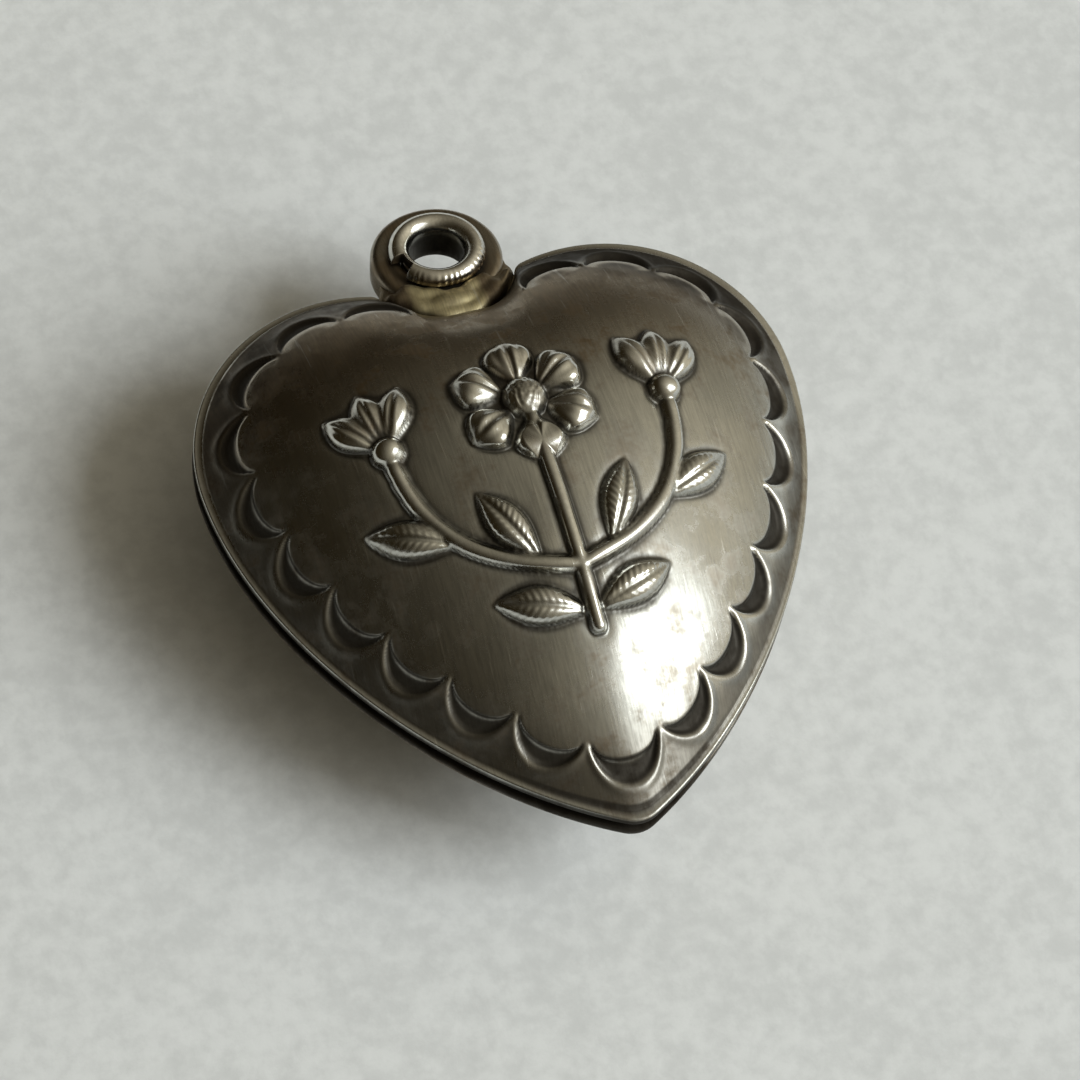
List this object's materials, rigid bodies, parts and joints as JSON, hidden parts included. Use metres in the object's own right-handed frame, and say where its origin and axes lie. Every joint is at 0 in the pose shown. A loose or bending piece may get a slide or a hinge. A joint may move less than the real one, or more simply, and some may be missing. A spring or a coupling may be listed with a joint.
{
  "type": "puffy heart charm",
  "caption": "Hollow puffed heart charm of stamped metal shells joined at a seam, with a scalloped border, a flower sprig in relief and a soldered ring bail to hang it by.",
  "frame": {"origin": "on the flat crown of the back, under the heart", "axes": "+Z out of the decorated front, +Y from the tip to the bail, +X to the right lobe seen from the front"},
  "size_m": [0.017, 0.0199, 0.0082],
  "materials": {
    "front_silver": "tarnished silver, satin, dark in the recesses",
    "back_silver": "tarnished silver, satin, worn",
    "seam": "blackened solder",
    "collar_silver": "tarnished silver, satin",
    "eyelet_silver": "worn silver, polished by the jump ring",
    "solder": "yellowish silver solder, satin"
  },
  "bodies": {
    "root": {"front_shell": "front_silver", "back_shell": "back_silver", "seam_solder": "seam", "bail_collar": "collar_silver", "bail_eyelet": "eyelet_silver", "bail_solder": "solder"}
  },
  "joints": []
}
